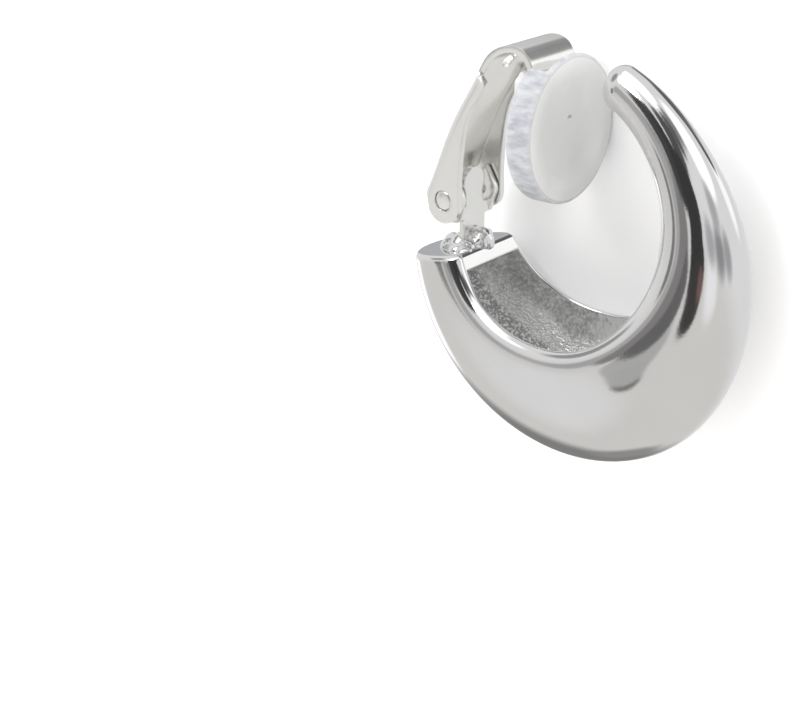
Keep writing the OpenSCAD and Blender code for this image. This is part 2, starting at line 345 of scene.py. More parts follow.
def casting_tree():
    tree = bpy.data.node_groups.new("cast_hoop", "GeometryNodeTree")
    wanted = [("Stations", "Geometry"), ("Station Count", "Int"), ("Dome Steps", "Int"), ("Rim Steps", "Int")]
    wanted += [("Edge Steps", "Int"), ("Hollow Steps", "Int"), ("Rim Width", "Float"), ("Rim Edge", "Float")]
    wanted += [("Lump Height", "Float"), ("Lump Size", "Float"), ("Across", "Vector")]
    wanted += [("Outside Finish", "Material"), ("Hollow Finish", "Material")]
    for name, kind in wanted:
        tree.interface.new_socket(name, in_out="INPUT", socket_type="NodeSocket" + kind)
    tree.interface.new_socket("Hoop", in_out="OUTPUT", socket_type="NodeSocketGeometry")
    bench = Bench(tree)
    given = bench.make("NodeGroupInput")

    steps = [given.out(name) for name in ("Dome Steps", "Rim Steps", "Edge Steps", "Hollow Steps")]
    to_middle = steps[0] + steps[1] + steps[2] + steps[3]
    ring_n = 2 * to_middle + 1
    sizes = {"Vertices X": given.out("Station Count"), "Vertices Y": ring_n, "Size X": 1, "Size Y": 1}
    grid = bench.make("GeometryNodeMeshGrid", None, sizes)
    index = bench.make("GeometryNodeInputIndex")
    station = (index / ring_n).math("FLOOR")
    step = index - station * ring_n

    def sample(value, kind="FLOAT"):
        sockets = {"Geometry": given.out("Stations"), "Value": value, "Index": station}
        return bench.make("GeometryNodeSampleIndex", {"data_type": kind}, sockets)

    def named(name, kind="FLOAT"):
        return bench.make("GeometryNodeInputNamedAttribute", {"data_type": kind}, {"Name": name})

    half, depth, corner_w, corner_d, hollow_d, fullness, shrink = (sample(named(n)) for n in STATION_SIZES)
    rim_point = sample(bench.make("GeometryNodeInputPosition"), "FLOAT_VECTOR")
    outward = sample(named("outward", "FLOAT_VECTOR"), "FLOAT_VECTOR")

    from_crown = to_middle - (step - to_middle).math("ABSOLUTE")
    side = (to_middle - step).math("SIGN")
    parts = []
    left = from_crown
    for count in steps:
        parts.append((left / count).clamp())
        left = left - count
    on_dome, on_rim, on_edge, in_hollow = parts
    quarter = math.pi / 2

    dome_turn = quarter * on_dome
    dome_x = half * dome_turn.math("SINE").math("MAXIMUM", 0) ** (1 / fullness)
    dome_out = corner_d + (depth - corner_d) * dome_turn.math("COSINE").math("MAXIMUM", 0) ** (1 / fullness)

    edge = given.out("Rim Edge").math("MINIMUM", hollow_d)
    hollow_w = half - given.out("Rim Width")
    stop = ((hollow_w + edge - half + corner_w) / corner_w).clamp().math("ARCCOSINE")
    rim_turn = on_rim * stop
    edge_turn = on_edge * quarter
    wall_turn = in_hollow * quarter
    inner_x = half - corner_w * (1 - rim_turn.math("COSINE")) - edge * edge_turn.math("SINE")
    inner_x = inner_x - hollow_w * (1 - wall_turn.math("COSINE"))
    bent = ((inner_x - half + corner_w) / corner_w).clamp()
    level = corner_d * (1 - (1 - bent * bent).math("MAXIMUM", 0).math("SQRT"))
    inner_out = level + edge * (1 - edge_turn.math("COSINE")) + (hollow_d - edge) * wall_turn.math("SINE")

    inside = from_crown > steps[0] + 0.5
    x = inside * inner_x + (1 - inside) * dome_x
    out = inside * inner_out + (1 - inside) * dome_out
    x = x * shrink * side
    out = depth / 2 + (out - depth / 2) * shrink

    def scaled(vector, size):
        return bench.make("ShaderNodeVectorMath", {"operation": "SCALE"}, {0: vector, "Scale": size})

    def added(one, other):
        return bench.make("ShaderNodeVectorMath", {"operation": "ADD"}, {0: one, 1: other})

    position = added(rim_point, added(scaled(given.out("Across"), x), scaled(outward, out)))
    placed = bench.make("GeometryNodeSetPosition", None, {"Geometry": grid, "Position": position})
    raw = (6 * in_hollow).clamp() * (hollow_d > 0.3 * MM)
    sockets = {"Geometry": placed, "Name": "raw", "Value": raw}
    marked = bench.make("GeometryNodeStoreNamedAttribute", {"data_type": "FLOAT"}, sockets)
    closed = bench.make("GeometryNodeMergeByDistance", None, {"Geometry": marked, "Distance": 0.001 * MM})

    spot = bench.make("GeometryNodeInputPosition")
    sockets = {"Vector": spot, "Scale": 1 / given.out("Lump Size"), "Detail": 2}
    lump = bench.make("ShaderNodeTexNoise", None, sockets)
    height = (lump - 0.5) * given.out("Lump Height") * named("raw")
    offset = scaled(bench.make("GeometryNodeInputNormal"), height)
    lumpy = bench.make("GeometryNodeSetPosition", None, {"Geometry": closed, "Offset": offset})
    smooth = bench.make("GeometryNodeSetShadeSmooth", None, {"Geometry": lumpy})
    real = bench.make("GeometryNodeRealizeInstances", None, {"Geometry": smooth})
    sockets = {"Geometry": real, "Material": given.out("Outside Finish")}
    outside = bench.make("GeometryNodeSetMaterial", None, sockets)
    sockets = {"Geometry": outside, "Selection": named("raw") > 0.05, "Material": given.out("Hollow Finish")}
    finished = bench.make("GeometryNodeSetMaterial", None, sockets)
    bench.make("NodeGroupOutput", None, {"Hoop": finished})
    return tree


# %% [markdown]
# A modifier's inputs are set by each socket's identifier, because two inputs may share a name.
# The result is then kept as a plain mesh, so nothing has to be worked out again later.

# %% Making a mesh plain, and checking it


def set_inputs(modifier, values):
    sockets = {s.name: s.identifier for s in modifier.node_group.interface.items_tree if s.in_out == "INPUT"}
    for name, value in values.items():
        modifier[sockets[name]] = value


def made_plain(piece):
    """Keeps what the modifiers make as the piece's own mesh, and removes them."""
    bpy.context.view_layer.update()
    seen = piece.evaluated_get(bpy.context.evaluated_depsgraph_get())
    mesh = bpy.data.meshes.new_from_object(seen)
    piece.modifiers.clear()
    piece.data = mesh
    mesh.name = piece.name


def report(piece):
    """Prints a piece's triangles, its open edges and its volume, which is positive if faces point out."""
    bm = bmesh.new()
    bm.from_mesh(piece.data)
    bmesh.ops.triangulate(bm, faces=bm.faces)
    open_edges = sum(1 for e in bm.edges if not e.is_manifold)
    volume = bm.calc_volume(signed=True) / MM**3
    print(f"{piece.name}: {len(bm.faces)} triangles, {open_edges} open edges, {volume:.1f} cubic mm")
    bm.free()


def new_piece(name, points, edges=(), faces=()):
    mesh = bpy.data.meshes.new(name)
    mesh.from_pydata([tuple(p) for p in points], list(edges), list(faces))
    piece = bpy.data.objects.new(name, mesh)
    bpy.context.scene.collection.objects.link(piece)
    return piece


# %% [markdown]
# ## The finishes
# Five finishes make the whole earring: polished silver, raw cast silver, plated steel, solder and
# silicone. Each is a Principled shader whose colour, roughness and bump follow soft noise.
# Patterns read Object coordinates in millimetres, so they stay on the metal in any pose.

# %% Starting a finish


def new_finish(name):
    """A material, its bench and its Principled shader."""
    finish = bpy.data.materials.new(name)
    finish.use_nodes = True
    finish.node_tree.nodes.clear()
    bench = Bench(finish.node_tree)
    shader = bench.make("ShaderNodeBsdfPrincipled")
    bench.make("ShaderNodeOutputMaterial", None, {"Surface": shader})
    return finish, bench, shader.socket.node


def set_sockets(bench, shader, sockets):
    """Links the wires to a shader's sockets, and sets the numbers and colours on them."""
    for name, given in sockets.items():
        if isinstance(given, Wire):
            bench.tree.links.new(given.socket, shader.inputs[name])
        else:
            shader.inputs[name].default_value = given


def in_mm(bench, stretch=(1, 1, 1)):
    """Object coordinates in millimetres on the hoop's own axes, stretched along them."""
    spot = bench.make("ShaderNodeTexCoord").out("Object")
    parts = []
    for axis, factor in zip((forward, upward, across), stretch):
        sockets = {0: spot, 1: tuple(axis * factor / MM)}
        parts.append(bench.make("ShaderNodeVectorMath", {"operation": "DOT_PRODUCT"}, sockets, "Value"))
    return bench.make("ShaderNodeCombineXYZ", None, dict(zip("XYZ", parts)))


def noise(bench, vector, scale, detail=3.0, rough=0.5):
    sockets = {"Vector": vector, "Scale": scale, "Detail": detail, "Roughness": rough}
    return bench.make("ShaderNodeTexNoise", None, sockets)


def shade(bench, factor, low, high):
    """A colour between two, by a factor from 0 to 1. Each is a wire or a plain colour."""
    low, high = (c if isinstance(c, Wire) else (*c, 1) for c in (low, high))
    return bench.make("ShaderNodeMix", {"data_type": "RGBA"}, {0: factor, 6: low, 7: high}, 2)


def bump(bench, height, distance, strength=1.0):
    sockets = {"Strength": strength, "Distance": distance, "Height": height}
    return bench.make("ShaderNodeBump", None, sockets)


# %% [markdown]
# ### Polished silver
# The outside is polished to a near mirror. Buffing leaves faint lines, so one noise is stretched
# across the hoop's width, and a broad one clouds the shine a little.

# %% Polished silver, for the outside of the hoop
polished, bench, shader = new_finish("polished_silver")
buffed = noise(bench, in_mm(bench, (2.2, 2.2, 0.25)), 3.0, 4)
cloudy = noise(bench, in_mm(bench), 0.35, 2)
set_sockets(bench, shader, {
    "Metallic": 1.0,
    "Base Color": shade(bench, cloudy, (0.80, 0.80, 0.81), (0.86, 0.85, 0.845)),
    "Roughness": 0.03 + 0.05 * buffed + 0.04 * cloudy,
    "Normal": bump(bench, buffed, 0.003 * MM, 0.4),
})
print("Finish:", polished.name)

# %% [markdown]
# ### Raw cast silver
# Nobody polishes the hollow, so it keeps the mould's grain. The metal froze in wrinkles in its
# deepest part, and halfway down in its lower part, and stayed smoother elsewhere. The lower
# halfway band is also painted lighter, as a painted highlight. The distance from the hoop's
# middle tells these parts apart, with some drift so that no border looks drawn.

# %% Raw cast silver, for the hollow
# Millimetres from the hoop's middle: two outwards, one downwards and one forward
DEEPEST = (12.6, 13.2)
HALFWAY = (10.6, 11.8)
LOWER = (7.0, 9.5)
BRIGHTER = (-2.5, 0.5)

raw_cast, bench, shader = new_finish("raw_cast_silver")
sand = noise(bench, in_mm(bench), 4.5, 4, 0.65)
pits = noise(bench, in_mm(bench), 2.2, 3, 0.6)
wrinkles = noise(bench, in_mm(bench, (1.5, 1.5, 0.8)), 2.0, 2, 0.5)
drift = noise(bench, in_mm(bench), 0.45, 2, 0.5)
split = bench.make("ShaderNodeSeparateXYZ", None, {0: in_mm(bench)})
from_mid = split.out("X") - middle.dot(forward) / MM
above_mid = split.out("Y") - middle.dot(upward) / MM
radius = (from_mid * from_mid + above_mid * above_mid).math("SQRT") + 1.6 * (drift - 0.5)
deepest = smoothstep(bench, radius, *DEEPEST)
halfway = smoothstep(bench, radius, *HALFWAY) * (1 - deepest)
halfway = halfway * smoothstep(bench, -1 * above_mid, *LOWER)
folds = (2 * (wrinkles - 0.5)).math("ABSOLUTE")
grain = 0.45 * sand + 0.25 * pits + 0.3 * drift
rough_part = 0.2 + 0.8 * deepest.math("MAXIMUM", halfway)
bright = smoothstep(bench, from_mid + 3 * (drift - 0.5), *BRIGHTER)
# Tone: grain and folds, with the lower halfway band painted lighter as a painted highlight.
tone = grain + 0.9 * (folds - 0.1) * rough_part + 0.13 * halfway - 0.1 * deepest + 0.08 * bright
tone = smoothstep(bench, tone, 0.34, 0.64)
set_sockets(bench, shader, {
    "Metallic": 0.8,
    "Base Color": shade(bench, tone, (0.48, 0.48, 0.48), (1.0, 1.0, 0.99)),
    "Roughness": 0.34 + 0.2 * pits,
    "Normal": bump(bench, 0.5 * grain + 1.5 * folds * rough_part, 0.09 * MM, 0.8),
})
print("Finish:", raw_cast.name)

# %% [markdown]
# ### Plated steel
# The clip is rolled sheet with a thin plating, so it is a little softer in shine and warmer than
# the silver. Its noise is stretched along the way the sheet was rolled.

# %% Plated steel, for the clip
plated, bench, shader = new_finish("plated_steel")
rolled = noise(bench, in_mm(bench, (0.6, 0.6, 3)), 2.0, 4)
cloudy = noise(bench, in_mm(bench), 0.5, 2)
set_sockets(bench, shader, {
    "Metallic": 0.88,
    "Base Color": shade(bench, cloudy, (0.86, 0.855, 0.835), (0.92, 0.915, 0.895)),
    "Roughness": 0.16 + 0.1 * rolled,
    "Normal": bump(bench, rolled, 0.001 * MM, 0.5),
})
print("Finish:", plated.name)

# %% [markdown]
# ### Solder
# Solder freezes fast and stays as it lands, bright and a little uneven.

# %% Solder, bright and uneven
solder_finish, bench, shader = new_finish("solder")
wavy = noise(bench, in_mm(bench), 1.6, 3)
set_sockets(bench, shader, {
    "Metallic": 1.0,
    "Base Color": shade(bench, wavy, (0.78, 0.78, 0.79), (0.9, 0.9, 0.9)),
    "Roughness": 0.06 + 0.1 * wavy,
    "Normal": bump(bench, wavy, 0.02 * MM, 0.4),
})
print("Finish:", solder_finish.name)

# %% [markdown]
# ### The silicone
# Light goes into silicone and comes out somewhere near, so part of it is transmission and part is
# scattering below the surface. The wall round the pad was cut by the mould, which left fine
# streaks across it, and the face has a small mark where the silicone was poured in. The wall is
# also painted darker than the face, as painted shade, and so is a thin ring at the face's edge.

# %% Silicone, for the comfort pad
lever_lean = math.radians(26.5)
back_off = 1.65
back_len = 10.2
hook_r = 2.85
lip_r = 1.6
tongue_len = 6.9
tongue_w = 4.9
sheet_t = 0.45
back_dir = np.array([math.sin(lever_lean), math.cos(lever_lean)])
back_out = np.array([-math.cos(lever_lean), math.sin(lever_lean)])
hook_mid = back_off * back_out + back_len * back_dir - hook_r * back_out
lip_mid = hook_mid + (0, hook_r - lip_r)
tongue_x = lip_mid[0] + lip_r

pad_d = 10.0
pad_t = 1.9
pad_front = 1.55
notch_y = 3.95
pad_x = tongue_x + pad_front
pad_y = lip_mid[1] - notch_y

# Millimetres: WALL and CREASE from the pad's axis, the two depths from its face, and mark_up from
# its middle. mark_flat makes the mark half as tall as it is wide.
WALL = (4.75, 4.95)
# CREASE bounds a thin ring of painted shade where the face turns into its rounded edge.
CREASE = (4.70, 4.76, 4.80, 4.86)
crease_deep = 0.25
mark_deep = 0.6
mark_up = 0.85
mark_flat = 4

silicone, bench, shader = new_finish("silicone")
split = bench.make("ShaderNodeSeparateXYZ", None, {0: in_mm(bench)})
behind = middle.dot(forward) / MM + pivot_flat[0] + pad_x - split.out("X")
rise = split.out("Y") - (middle.dot(upward) / MM + pivot_flat[1] + pad_y)
beside_mid = split.out("Z") - middle.dot(across) / MM
radius = (rise * rise + beside_mid * beside_mid).math("SQRT")
turn = rise.math("ARCTAN2", beside_mid)
round_it = bench.make("ShaderNodeCombineXYZ", None, {"X": 5 * turn, "Y": 0.35 * behind})
streaks = smoothstep(bench, noise(bench, round_it, 1.6, 3, 0.6), 0.3, 0.7)
on_wall = smoothstep(bench, radius, *WALL)
swirl = noise(bench, in_mm(bench, (1, 0.5, 1)), 0.5, 2)
mark_noise = noise(bench, in_mm(bench), 4.0, 1)
mark_rise = rise - mark_up
mark_far = (mark_rise * mark_rise * mark_flat + beside_mid * beside_mid).math("SQRT")
mark = 1 - smoothstep(bench, mark_far + 0.5 * mark_noise, 0.42, 0.52)
# Painted shade: a thin ring just inside the face's rounded edge is darkened.
crease_shade = smoothstep(bench, radius, *CREASE[:2]) * (1 - smoothstep(bench, radius, *CREASE[2:]))
crease_shade = crease_shade * (behind < crease_deep)
# Darkened by the pour mark, and by the ring of painted shade.
dark = (0.7 * mark * (behind < mark_deep)).math("MAXIMUM", 0.35 * crease_shade)
body_colour = shade(bench, swirl, (0.70, 0.70, 0.70), (0.82, 0.82, 0.815))
# The wall's streaks are the mould's. Its overall darker tone than the face is painted shade.
wall_streaks_and_shade = shade(bench, streaks, (0.42, 0.43, 0.475), (0.64, 0.65, 0.67))
colour = shade(bench, on_wall, body_colour, wall_streaks_and_shade)
set_sockets(bench, shader, {
    "Base Color": shade(bench, dark, colour, (0.25, 0.25, 0.27)),
    "Roughness": 0.32 + 0.1 * swirl,
    "IOR": 1.41,
    "Transmission Weight": 0.25,
    "Subsurface Weight": 0.8,
    "Subsurface Radius": (1.0, 1.0, 1.0),
    "Subsurface Scale": 1.2 * MM,
    "Normal": bump(bench, streaks * on_wall + 0.2 * swirl, 0.1 * MM, 0.6),
})
print("Finish:", silicone.name)

# %% [markdown]
# ## Making the hoop
# The stations become a plain chain of points with their sizes as attributes, the modifier turns
# them into the hoop, and the result is checked: a closed casting has no open edges, and its
# volume is above zero only if its faces point outwards.

# %% The hoop
hoop = new_piece("cast_hoop", spine, [(i, i + 1) for i in range(len(spine) - 1)])
station_values = {
    "half": half * MM,
    "depth": depth * MM,
    "corner_w": corner_w * MM,
    "corner_d": corner_d * MM,
    "hollow_d": hollow_d * MM,
    "fullness": shares[:, FULL],
    "shrink": shrinks,
}
for name, values in station_values.items():
    hoop.data.attributes.new(name, "FLOAT", "POINT").data.foreach_set("value", values.astype(np.float32))
outward = np.array([direction(math.cos(f), math.sin(f)) for f in faces], np.float32)
hoop.data.attributes.new("outward", "FLOAT_VECTOR", "POINT").data.foreach_set("vector", outward.ravel())

caster = hoop.modifiers.new("cast", "NODES")
caster.node_group = casting_tree()
set_inputs(caster, {
    "Station Count": len(spine),
    "Dome Steps": 56,
    "Rim Steps": 18,
    "Edge Steps": 5,
    "Hollow Steps": 38,
    "Rim Width": rim_t * MM,
    "Rim Edge": 0.15 * MM,
    "Lump Height": 0.12 * MM,
    "Lump Size": 1.1 * MM,
    "Across": tuple(across),
    "Outside Finish": polished,
    "Hollow Finish": raw_cast,
})
made_plain(hoop)
finish_of = np.zeros(len(hoop.data.polygons), np.int32)
hoop.data.polygons.foreach_get("material_index", finish_of)
while hoop.data.materials[0] is None:
    hoop.data.materials.pop(index=0)
    finish_of -= 1
hoop.data.polygons.foreach_set("material_index", finish_of)
print("Hoop materials:", [m.name for m in hoop.data.materials])
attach(hoop, "hoop")
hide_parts("hoop")
report(hoop)

# %% [markdown]
# ## Sheet metal from a flat blank
# The lever and the clip's base are stamped from sheet and then bent. The same steps work here:
# draw the blank's outline, fill it with small triangles, bend every point, and give the sheet its
# thickness. The triangles come from a Delaunay fill, which keeps the outline and the holes exact.

# %% Filling a blank


def inside_outline(points, outline):
    """Which points lie inside a closed outline, by counting crossings."""
    found = np.zeros(len(points), bool)
    for (ax, ay), (bx, by) in zip(outline, np.roll(outline, -1, axis=0)):
        if ay == by:
            continue
        crosses = (ay > points[:, 1]) != (by > points[:, 1])
        at = ax + (points[:, 1] - ay) * (bx - ax) / (by - ay)
        found ^= crosses & (points[:, 0] < at)
    return found


def near_outline(points, outline, distance):
    spots = np.array(outline)
    gaps = np.linalg.norm(points[:, None, :] - spots[None, :, :], axis=2)
    return gaps.min(axis=1) < distance


def even_steps(outline, step):
    """The same closed outline with its long sides cut into short ones."""
    made = []
    for a, b in zip(outline, np.roll(outline, -1, axis=0)):
        count = max(1, round(float(np.linalg.norm(b - a)) / step))
        made += [a + (b - a) * k / count for k in range(count)]
    return np.array(made)


def fill_blank(outline, holes, step):
    """Points and triangles of a flat blank. Holes are (x, y, radius)."""
    outline = even_steps(np.array(outline), step)
    loops = [outline]
    for x, y, r in holes:
        turns = np.arange(40) * math.tau / 40
        loops.append(np.stack([x + r * np.cos(turns), y + r * np.sin(turns)], axis=1))
    low, high = outline.min(axis=0), outline.max(axis=0)
    grid_x, grid_y = np.meshgrid(np.arange(low[0], high[0], step), np.arange(low[1], high[1], step))
    inner = np.stack([grid_x.ravel(), grid_y.ravel()], axis=1)
    inner = inner[inside_outline(inner, outline)]
    for loop in loops:
        inner = inner[~near_outline(inner, loop, 0.6 * step)]
    for x, y, r in holes:
        inner = inner[np.hypot(inner[:, 0] - x, inner[:, 1] - y) > r]
    spots = list(inner)
    edges = []
    for loop in loops:
        first = len(spots)
        spots += list(loop)
        edges += [(first + k, first + (k + 1) % len(loop)) for k in range(len(loop))]
    filled = delaunay_2d_cdt([Vector(p) for p in spots], edges, [], 1, 1e-6)
    points, triangles = filled[0], filled[2]
    kept = []
    for triangle in triangles:
        mid = sum((points[k] for k in triangle), Vector((0, 0))) / 3
        if all(math.hypot(mid.x - x, mid.y - y) > r * 0.98 for x, y, r in holes):
            kept.append(triangle)
    return np.array([tuple(p) for p in points]), kept


def into_sheet(piece, thickness, edge, outside):
    """Turns the faces towards outside, and gives the sheet its thickness and softened edges."""
    bm = bmesh.new()
    bm.from_mesh(piece.data)
    bmesh.ops.delete(bm, geom=[v for v in bm.verts if not v.link_faces], context="VERTS")
    bmesh.ops.recalc_face_normals(bm, faces=bm.faces)
    facing = sum(f.normal.dot(outside) * f.calc_area() for f in bm.faces)
    if facing < 0:
        bmesh.ops.reverse_faces(bm, faces=bm.faces)
    bm.to_mesh(piece.data)
    bm.free()
    wall = piece.modifiers.new("thickness", "SOLIDIFY")
    wall.thickness = thickness
    wall.offset = -1
    soft = piece.modifiers.new("soft edges", "BEVEL")
    soft.width = edge
    soft.segments = 2
    soft.limit_method = "ANGLE"
    soft.angle_limit = math.radians(50)
    soft.harden_normals = False
    even = piece.modifiers.new("flat faces stay flat", "WEIGHTED_NORMAL")
    even.keep_sharp = False
    piece.data.shade_smooth()
    made_plain(piece)


# %% [markdown]
# ## The clip lever
# The lever is one strip. Its lower half has a flange folded down on each side, and its upper half
# bends over into a hook, and goes down again as a tongue inside the pad. On the blank, one
# direction runs along the strip and the other across it. Each flange ends in a round lobe with
# the hole for its pivot. The flange's front edge follows points picked by eye on the photograph,
# turned into millimetres by a script and rounded as shares of the back's length and the lobe.

# %% The lever's blank
lever_w = 5.3
lobe_r = 1.35
trunnion_d = 1.4
pivot_gap = 0.05
hook_hole_d = 1.4
bend_r = 0.38
plate_from = 0.2
back_bow = 0.3
lobe_drop = 0.3
shoulder = 0.9
hook_turn = math.radians(90) - lever_lean
flat_half = lever_w / 2 - bend_r
fold_mm = bend_r * math.pi / 2

FLANGE = np.array([
    [0.11, 1.90],
    [0.21, 1.55],
    [0.32, 1.20],
    [0.43, 0.92],
    [0.53, 0.72],
    [0.63, 0.60],
    [0.72, 0.57],
    [0.80, 0.62],
    [0.91, 0.72],
])


def unrolled(deep):
    """Distance across the blank of a point at a depth below the back."""
    if deep < bend_r:
        return flat_half + bend_r * math.acos(1 - deep / bend_r)
    return flat_half + fold_mm + deep - bend_r


low_edge = [(plate_from, 0), (plate_from, flat_half - 0.5), (plate_from - 0.1, flat_half - 0.15)]
low_edge += [(-0.1, unrolled(0.06)), (-0.45, unrolled(0.28))]
lobe_along = -lobe_drop * math.cos(lever_lean)
lobe_deep = back_off + lobe_drop * math.sin(lever_lean)
lobe = [math.radians(-140 - 12 * k) for k in range(14)]
low_edge += [(lobe_along + lobe_r * math.cos(a), unrolled(lobe_deep + lobe_r * math.sin(a))) for a in lobe]
front_edge = natural_spline(FLANGE * (back_len, lobe_r), np.linspace(0, 1, 50))
low_edge += [(a, unrolled(deep)) for a, deep in front_edge]
top_in = tongue_w / 2
shoulder_at = back_len - shoulder
hook_mm = hook_r * hook_turn
strip_mm = back_len + hook_mm + lip_r * math.pi / 2 + tongue_len
low_edge += [(shoulder_at + 0.12, unrolled(0.85)), (shoulder_at + 0.16, unrolled(0.6))]
low_edge += [(shoulder_at + 0.2, top_in + 0.3), (shoulder_at + 0.35, top_in + 0.05)]
low_edge += [(shoulder_at + 0.6, top_in)]
low_edge += [(strip_mm - 0.5, top_in), (strip_mm - 0.15, top_in - 0.15), (strip_mm, top_in - 0.5)]
half_edge = np.array(low_edge)
other_half = half_edge[1:][::-1] * (1, -1)
blank = np.concatenate([half_edge, other_half])
pivot_across = unrolled(back_off)
hole_turn = math.radians(180 - 147) - lever_lean
pivot_hole = trunnion_d / 2 + pivot_gap
holes = [(0, pivot_across, pivot_hole), (0, -pivot_across, pivot_hole)]
holes.append((back_len + hole_turn * hook_r, 0, hook_hole_d / 2))
flat_points, triangles = fill_blank(blank, holes, 0.22)
print("Blank:", len(flat_points), "points,", len(triangles), "triangles,", round(strip_mm, 1), "mm long")

# %% [markdown]
# Bending moves each point of the blank to the outside face of the lever. Across the strip there
# is a flat back, a fold of a small radius and a straight flange. Along the strip there is a
# straight back, the hook's two bends and the tongue. Above the shoulder the folds die away.

# %% Bending the lever


def bend_lever(along, width):
    side = math.copysign(1, width)
    width = abs(width)
    fold = min(max((width - flat_half) / bend_r, 0), math.pi / 2)
    z = min(width, flat_half) + bend_r * math.sin(fold)
    deep = bend_r * (1 - math.cos(fold)) + max(0, width - flat_half - fold_mm)
    flatten = min(max((along - shoulder_at + 0.1) / 0.6, 0), 1)
    flatten = flatten * flatten * (3 - 2 * flatten)
    z += (min(width, z + 0.4) - z) * flatten
    deep *= 1 - flatten
    if 0 < along < back_len:
        bow = back_bow * (1 - math.cos(math.tau * along / back_len)) / 2
        deep -= bow * max(1 - deep / lobe_r, 0)
    if along < back_len:
        spot = along * back_dir + (back_off - deep) * back_out
    elif along < back_len + hook_mm:
        a = math.pi - lever_lean - (along - back_len) / hook_r
        spot = hook_mid + (hook_r - deep) * np.array([math.cos(a), math.sin(a)])
    elif along < strip_mm - tongue_len:
        a = math.pi / 2 - (along - back_len - hook_mm) / lip_r
        spot = lip_mid + (lip_r - deep) * np.array([math.cos(a), math.sin(a)])
    else:
        spot = np.array([tongue_x - deep, lip_mid[1] - (along - strip_mm + tongue_len)])
    return place(pivot_flat[0] + spot[0], pivot_flat[1] + spot[1], side * z)


lever = new_piece("lever_sheet", [bend_lever(*p) for p in flat_points], faces=triangles)
into_sheet(lever, sheet_t * MM, 0.05 * MM, direction(*back_out))
lever.data.materials.append(plated)
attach(lever, "lever")
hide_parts("clip_lever")
report(lever)

# %% [markdown]
# ## The comfort pad
# The pad is a round silicone button, moulded with a notch where the hook passes and a sleeve
# behind for the tongue. A turned profile gives the button, blocks are added and cut away as the
# mould would do, and a voxel remesh followed by a little smoothing gives every edge the softness
# of moulded silicone.

# %% Turning and blocks


def round_faces(n, count):
    """Faces between count copies of a profile of n points, closed all the way round."""
    return [
        (k * n + i, k * n + i + 1, (k + 1) % count * n + i + 1, (k + 1) % count * n + i)
        for k in range(count)
        for i in range(n - 1)
    ]


def turned(name, profile, centre_x, centre_y, count=96):
    """A closed body from (radius, forward) points, turned about a line that looks forward."""
    points = []
    for k in range(count):
        a = math.tau * k / count
        for r, x in profile:
            points.append(place(centre_x + x, centre_y + r * math.sin(a), r * math.cos(a)))
    body = new_piece(name, points, faces=round_faces(len(profile), count))
    tidy_mesh(body)
    return body


def tidy_mesh(body):
    bm = bmesh.new()
    bm.from_mesh(body.data)
    bmesh.ops.remove_doubles(bm, verts=bm.verts, dist=0.0005 * MM)
    bmesh.ops.recalc_face_normals(bm, faces=bm.faces)
    bm.to_mesh(body.data)
    bm.free()


def block(name, low, high):
    """A box between two corners on the hoop's own axes."""
    corners = [(x, y, z) for x in (low[0], high[0]) for y in (low[1], high[1]) for z in (low[2], high[2])]
    sides = [(0, 1, 3, 2), (4, 6, 7, 5), (0, 4, 5, 1), (2, 3, 7, 6), (0, 2, 6, 4), (1, 5, 7, 3)]
    body = new_piece(name, [place(*c) for c in corners], faces=sides)
    tidy_mesh(body)
    return body


def combine(piece, other, operation):
    """Adds, cuts or keeps the overlap of another body, which is then thrown away.
    The sum is done a thousand times larger, because its tolerance is made for furniture."""
    for body in (piece, other):
        body.data.transform(Matrix.Scale(1 / MM, 4))
    step = piece.modifiers.new(operation.lower(), "BOOLEAN")
    step.operation = operation
    step.object = other
    step.solver = "EXACT"
    made_plain(piece)
    piece.data.transform(Matrix.Scale(MM, 4))
    tidy_mesh(piece)
    bpy.data.objects.remove(other)


def fused(piece, voxel, passes, finish):
    """One skin round everything in a piece, smoothed a few times, with its finish on."""
    skin = piece.modifiers.new("skin", "REMESH")
    skin.mode = "VOXEL"
    skin.voxel_size = voxel * MM
    soften = piece.modifiers.new("soften", "SMOOTH")
    soften.factor = 0.5
    soften.iterations = passes
    made_plain(piece)
    piece.data.shade_smooth()
    piece.data.materials.clear()
    piece.data.materials.append(finish)


# %% [markdown]
# The turned button comes first. The sleeve is kept inside the button's outline and added, and the
# notch and the tongue's slot are cut. The notch stops short of the face, because the face shows
# no cut in it.

# %% The pad's body
pocket_wall = 0.55
pocket_gap = 0.05
rim_inset = 0.4
slot_w = tongue_w + 2 * pocket_gap
slot_t = sheet_t + 2 * pocket_gap
slot_low = lip_mid[1] - tongue_len - pocket_gap
back_x = tongue_x - sheet_t - pocket_gap - pocket_wall
pad_r = pad_d / 2
soft_r = 0.24
face_skin = 0.4


def bend_points(centre, radius, start, end, count=6):
    turns = [math.radians(start + (end - start) * k / count) for k in range(count + 1)]
    return [(centre[0] + radius * math.cos(a), centre[1] + radius * math.sin(a)) for a in turns]


profile = [(0, -0.28), (1.5, -0.27), (2.7, -0.24), (3.3, -0.17), (3.75, -0.06), (4.05, -0.01), (4.3, 0)]
profile += bend_points((pad_r - soft_r, -soft_r), soft_r, 90, 0)
profile += bend_points((pad_r - soft_r, -pad_t + soft_r), soft_r, 0, -90)
profile += [(2.5, -pad_t), (0, -pad_t)]
flat_x, flat_y = pivot_flat
pad = turned("silicone_pad", profile, flat_x + pad_x, flat_y + pad_y)

